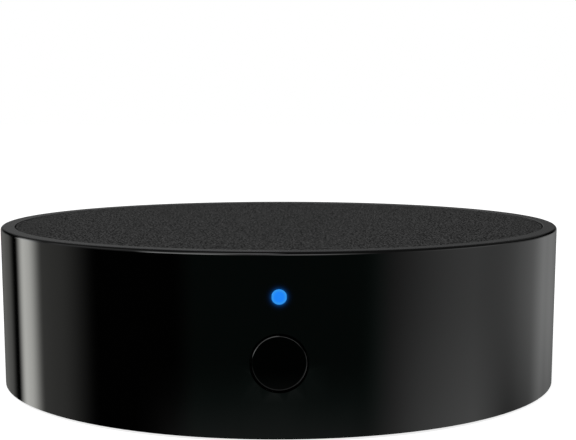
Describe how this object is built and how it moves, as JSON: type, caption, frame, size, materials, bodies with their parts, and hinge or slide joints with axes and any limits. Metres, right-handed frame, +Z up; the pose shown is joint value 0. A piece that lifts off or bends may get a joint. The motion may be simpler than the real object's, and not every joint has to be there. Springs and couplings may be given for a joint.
{
  "type": "infrared remote control hub",
  "caption": "Low round puck with a gloss black side wall, a matte black top panel, a flush round push button and a small round blue status light.",
  "frame": {"origin": "bottom centre of the foot ring, on the case's axis", "axes": "+Z up along the case's axis; -Y front, with the button and the status light; +Y rear, with the power socket; +X to the right, seen from the front"},
  "size_m": [0.066, 0.066, 0.0185],
  "materials": {
    "gloss_black": "gloss moulded, satin along the rim",
    "button_black": "gloss moulded",
    "grained_black": "matte, fine spark-eroded grain",
    "base_black": "fine matte texture",
    "foot_rubber": "matte silicone rubber",
    "adhesive": "translucent tape",
    "screw_steel": "zinc plated",
    "board_green": "solder mask over glass fibre",
    "module_blue": "solder mask over glass fibre",
    "bright_metal": "tinned or nickel plated",
    "contact_gold": "gold flash",
    "part_black": "moulded epoxy or nylon",
    "plunger_cream": "moulded nylon",
    "light_source": "blue, lit",
    "clear_guide": "clear, lit blue by the source under it",
    "emitter_epoxy": "dark blue tinted epoxy",
    "receiver_epoxy": "dark visible-light filter epoxy",
    "can_aluminium": "drawn",
    "crystal_can": "plated lid",
    "chip_dark": "glazed, tinned ends",
    "chip_tan": "fired, tinned ends"
  },
  "bodies": {
    "case": {"upper_shell": "gloss_black", "top_panel": "grained_black", "base_cover": "base_black", "foot_ring": "foot_rubber", "panel_tape": "adhesive", "foot_tape": "adhesive", "case_screws": "screw_steel", "board_screws": "screw_steel", "main_board": "board_green", "wifi_board": "module_blue", "switch_cover": "bright_metal", "switch_dome": "bright_metal", "switch_terminals": "bright_metal", "wifi_shield": "bright_metal", "usb_shell": "bright_metal", "regulator_leads": "bright_metal", "transistor_leads": "bright_metal", "diode_leads": "bright_metal", "ir_receiver_leads": "bright_metal", "emitter_leads_1": "bright_metal", "emitter_leads_2": "bright_metal", "emitter_leads_3": "bright_metal", "emitter_leads_4": "bright_metal", "emitter_leads_5": "bright_metal", "emitter_leads_6": "bright_metal", "emitter_leads_7": "bright_metal", "wifi_antenna": "contact_gold", "usb_contacts": "contact_gold", "switch_housing": "part_black", "usb_tongue": "part_black", "regulator": "part_black", "capacitor_base": "part_black", "driver_transistors": "part_black", "protection_diode": "part_black", "wifi_chip": "part_black", "status_led": "light_source", "light_guide": "clear_guide", "ir_emitter_1": "emitter_epoxy", "ir_emitter_2": "emitter_epoxy", "ir_emitter_3": "emitter_epoxy", "ir_emitter_4": "emitter_epoxy", "ir_emitter_5": "emitter_epoxy", "ir_emitter_6": "emitter_epoxy", "ir_emitter_7": "emitter_epoxy", "ir_receiver": "receiver_epoxy", "capacitor_can": "can_aluminium", "wifi_crystal": "crystal_can", "chip_resistors": "chip_dark", "chip_capacitors": "chip_tan"},
    "button": {"button_cap": "button_black"},
    "plunger": {"switch_plunger": "plunger_cream"}
  },
  "joints": [
    {"name": "button_press", "type": "slide", "parent": "case", "child": "button", "axis": [0, 1, 0], "range_m": [0, 0.00025], "stiffness_N_per_m": 6000, "deforming": ["switch_dome"]},
    {"name": "plunger_press", "type": "slide", "parent": "case", "child": "plunger", "axis": [0, 1, 0], "range_m": [0, 0.00025]}
  ],
  "couplings": [
    {"joint": "plunger_press", "follows": "button_press", "ratio": 1}
  ]
}
